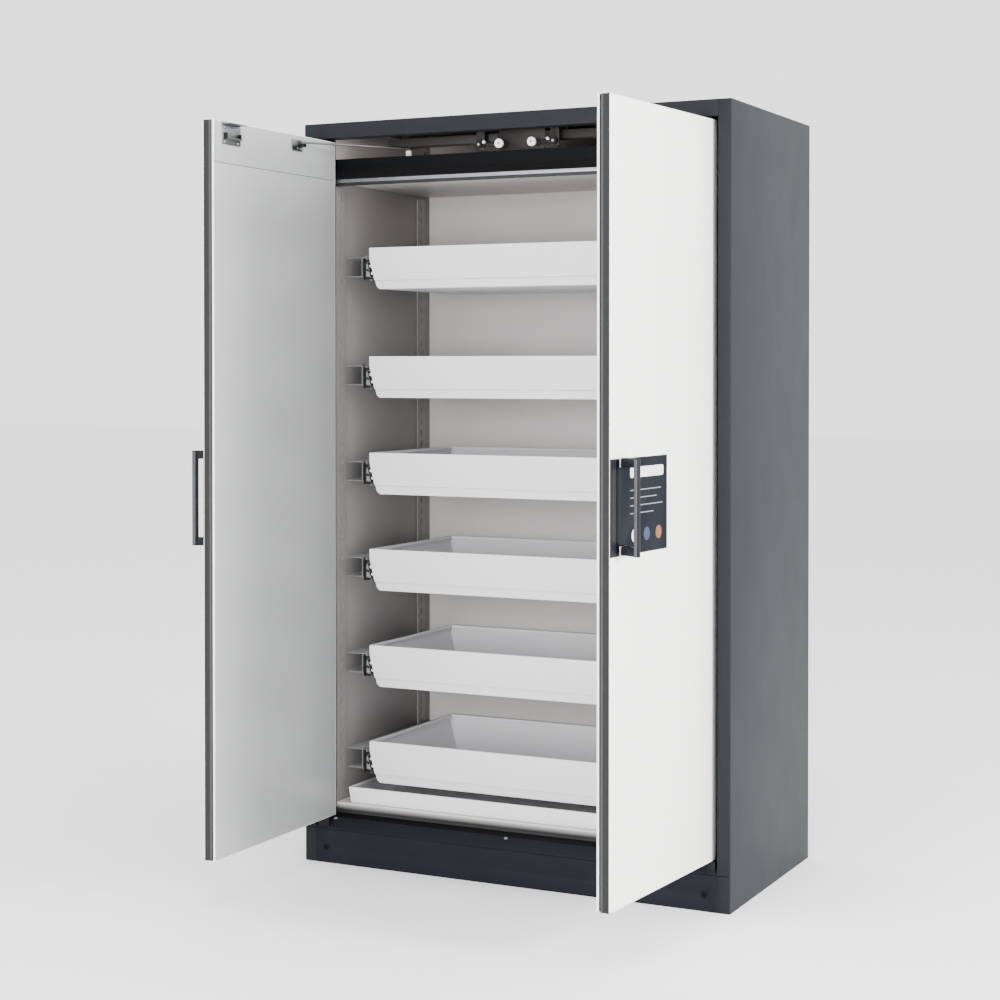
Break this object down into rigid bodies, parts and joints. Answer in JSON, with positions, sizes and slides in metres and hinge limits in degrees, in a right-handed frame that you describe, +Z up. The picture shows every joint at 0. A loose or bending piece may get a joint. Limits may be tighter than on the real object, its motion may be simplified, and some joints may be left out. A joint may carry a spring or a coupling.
{
  "type": "hazardous material safety cabinet",
  "caption": "Tall fire-rated safety cabinet for hazardous liquids, with insulated hinged doors on closer arms, full-width pull-out drawers, a floor sump and roof air spigots.",
  "frame": {"origin": "on the floor at the centre of the cabinet's footprint, doors and handles not counted", "axes": "+X to the right seen from the front, +Y to the back, +Z up; the front is -Y"},
  "size_m": [1.1977, 1.1463, 2.003],
  "materials": {
    "casing_paint": "anthracite grey powder coat, fine texture",
    "front_paint": "dark anthracite powder coat, fine texture",
    "black_steel": "black painted steel",
    "zinc_steel": "bright zinc plated",
    "slide_steel": "zinc plated, rolled",
    "arm_steel": "light grey, satin",
    "insulation": "mineral fire board, matt",
    "lining_laminate": "light grey melamine laminate, satin",
    "seal_rubber": "black intumescent and lip seal",
    "black_band": "black, satin",
    "bright_trim": "anodised, satin",
    "compartment_sheet": "light grey coated sheet",
    "shelf_paint": "light grey powder coat",
    "brass_stud": "plain brass",
    "door_paint": "warm white powder coat, fine texture",
    "door_core": "mineral board in a light grey edge band",
    "door_liner": "light grey coated sheet, satin",
    "black_fittings": "black, satin",
    "handle_plastic": "grey moulded, fine grain",
    "plate_plastic": "dark slate blue, semi-gloss",
    "roller_plastic": "white acetal"
  },
  "bodies": {
    "cabinet": {"side_panel_left": "casing_paint", "side_panel_right": "casing_paint", "back_panel": "casing_paint", "roof_panel": "casing_paint", "header_rail": "front_paint", "plinth_panel": "front_paint", "base_frame": "black_steel", "leveling_feet": "zinc_steel", "insulation_boards": "insulation", "lining_sides": "lining_laminate", "lining_back": "lining_laminate", "lining_ceiling": "lining_laminate", "lining_floor": "lining_laminate", "frame_seal": "seal_rubber", "ceiling_fascia": "black_band", "ceiling_trim": "bright_trim", "compartment_lining": "compartment_sheet", "arm_tracks": "black_steel", "latch_brackets": "zinc_steel", "air_ducts": "zinc_steel", "mounting_uprights": "lining_laminate", "rail_brackets": "shelf_paint", "fixed_rails": "slide_steel", "sump_tray": "shelf_paint", "hinge_blocks": "black_steel", "hinge_pins": "zinc_steel", "earth_stud": "brass_stud"},
    "door_left": {"door_left_skin": "door_paint", "door_left_core": "door_core", "door_left_edge_seal": "seal_rubber", "door_left_liner": "door_liner", "door_left_fittings": "black_fittings", "door_left_handle": "handle_plastic"},
    "door_right": {"door_right_skin": "door_paint", "door_right_core": "door_core", "door_right_edge_seal": "seal_rubber", "door_right_liner": "door_liner", "door_right_fittings": "black_fittings", "door_right_handle": "handle_plastic", "label_plate": "plate_plastic"},
    "closer_arm_left": {"closer_arm_left": "arm_steel", "closer_rollers_left": "roller_plastic"},
    "latch_lever_left": {"latch_lever_left": "roller_plastic"},
    "closer_arm_right": {"closer_arm_right": "arm_steel", "closer_rollers_right": "roller_plastic"},
    "latch_lever_right": {"latch_lever_right": "roller_plastic"},
    "drawer_1": {"drawer_1": "shelf_paint"},
    "middle_slides_1": {"middle_slides_1": "slide_steel"},
    "drawer_2": {"drawer_2": "shelf_paint"},
    "middle_slides_2": {"middle_slides_2": "slide_steel"},
    "drawer_3": {"drawer_3": "shelf_paint"},
    "middle_slides_3": {"middle_slides_3": "slide_steel"},
    "drawer_4": {"drawer_4": "shelf_paint"},
    "middle_slides_4": {"middle_slides_4": "slide_steel"},
    "drawer_5": {"drawer_5": "shelf_paint"},
    "middle_slides_5": {"middle_slides_5": "slide_steel"},
    "drawer_6": {"drawer_6": "shelf_paint"},
    "middle_slides_6": {"middle_slides_6": "slide_steel"},
    "damper_exhaust": {"damper_exhaust": "zinc_steel"},
    "damper_supply": {"damper_supply": "zinc_steel"}
  },
  "joints": [
    {"name": "door_left_hinge", "type": "hinge", "parent": "cabinet", "child": "door_left", "pos_m": [-0.54125, -0.29875, 1.014], "axis": [0, 0, -1], "range_deg": [-90, 5]},
    {"name": "closer_arm_left_pivot", "type": "hinge", "parent": "door_left", "child": "closer_arm_left", "pos_m": [-0.50725, -0.45875, 1.886], "axis": [0, 0, -1], "range_deg": [-7.7, 134.3]},
    {"name": "latch_left_pivot", "type": "hinge", "parent": "cabinet", "child": "latch_lever_left", "pos_m": [-0.105, -0.251, 1.882], "axis": [0, 1, 0], "range_deg": [0, 6], "stiffness_Nm_per_rad": 0.5, "springref_deg": -11.46},
    {"name": "door_right_hinge", "type": "hinge", "parent": "cabinet", "child": "door_right", "pos_m": [0.54125, -0.29875, 1.014], "axis": [0, 0, 1], "range_deg": [-85.7, 9.3]},
    {"name": "closer_arm_right_pivot", "type": "hinge", "parent": "door_right", "child": "closer_arm_right", "pos_m": [0.49535, -0.45575, 1.886], "axis": [0, 0, 1], "range_deg": [-14.2, 128.8]},
    {"name": "latch_right_pivot", "type": "hinge", "parent": "cabinet", "child": "latch_lever_right", "pos_m": [0.105, -0.251, 1.882], "axis": [0, -1, 0], "range_deg": [0, 6], "stiffness_Nm_per_rad": 0.5, "springref_deg": -11.46},
    {"name": "drawer_1_slide", "type": "slide", "parent": "cabinet", "child": "drawer_1", "axis": [0, -1, 0], "range_m": [0, 0.485]},
    {"name": "middle_slides_1_slide", "type": "slide", "parent": "cabinet", "child": "middle_slides_1", "axis": [0, -1, 0], "range_m": [0, 0.2425]},
    {"name": "drawer_2_slide", "type": "slide", "parent": "cabinet", "child": "drawer_2", "axis": [0, -1, 0], "range_m": [0, 0.485]},
    {"name": "middle_slides_2_slide", "type": "slide", "parent": "cabinet", "child": "middle_slides_2", "axis": [0, -1, 0], "range_m": [0, 0.2425]},
    {"name": "drawer_3_slide", "type": "slide", "parent": "cabinet", "child": "drawer_3", "axis": [0, -1, 0], "range_m": [0, 0.485]},
    {"name": "middle_slides_3_slide", "type": "slide", "parent": "cabinet", "child": "middle_slides_3", "axis": [0, -1, 0], "range_m": [0, 0.2425]},
    {"name": "drawer_4_slide", "type": "slide", "parent": "cabinet", "child": "drawer_4", "axis": [0, -1, 0], "range_m": [0, 0.485]},
    {"name": "middle_slides_4_slide", "type": "slide", "parent": "cabinet", "child": "middle_slides_4", "axis": [0, -1, 0], "range_m": [0, 0.2425]},
    {"name": "drawer_5_slide", "type": "slide", "parent": "cabinet", "child": "drawer_5", "axis": [0, -1, 0], "range_m": [0, 0.485]},
    {"name": "middle_slides_5_slide", "type": "slide", "parent": "cabinet", "child": "middle_slides_5", "axis": [0, -1, 0], "range_m": [0, 0.2425]},
    {"name": "drawer_6_slide", "type": "slide", "parent": "cabinet", "child": "drawer_6", "axis": [0, -1, 0], "range_m": [0, 0.485]},
    {"name": "middle_slides_6_slide", "type": "slide", "parent": "cabinet", "child": "middle_slides_6", "axis": [0, -1, 0], "range_m": [0, 0.2425]},
    {"name": "damper_exhaust_pivot", "type": "hinge", "parent": "cabinet", "child": "damper_exhaust", "pos_m": [0.15, 0.2, 1.83], "axis": [1, 0, 0], "range_deg": [0, 90]},
    {"name": "damper_supply_pivot", "type": "hinge", "parent": "cabinet", "child": "damper_supply", "pos_m": [0.4, 0.2, 1.83], "axis": [1, 0, 0], "range_deg": [0, 90]}
  ],
  "couplings": [
    {"joint": "closer_arm_left_pivot", "follows": "door_left_hinge", "ratio": -1.49},
    {"joint": "closer_arm_right_pivot", "follows": "door_right_hinge", "ratio": -1.5},
    {"joint": "middle_slides_1_slide", "follows": "drawer_1_slide", "ratio": 0.5},
    {"joint": "middle_slides_2_slide", "follows": "drawer_2_slide", "ratio": 0.5},
    {"joint": "middle_slides_3_slide", "follows": "drawer_3_slide", "ratio": 0.5},
    {"joint": "middle_slides_4_slide", "follows": "drawer_4_slide", "ratio": 0.5},
    {"joint": "middle_slides_5_slide", "follows": "drawer_5_slide", "ratio": 0.5},
    {"joint": "middle_slides_6_slide", "follows": "drawer_6_slide", "ratio": 0.5}
  ]
}
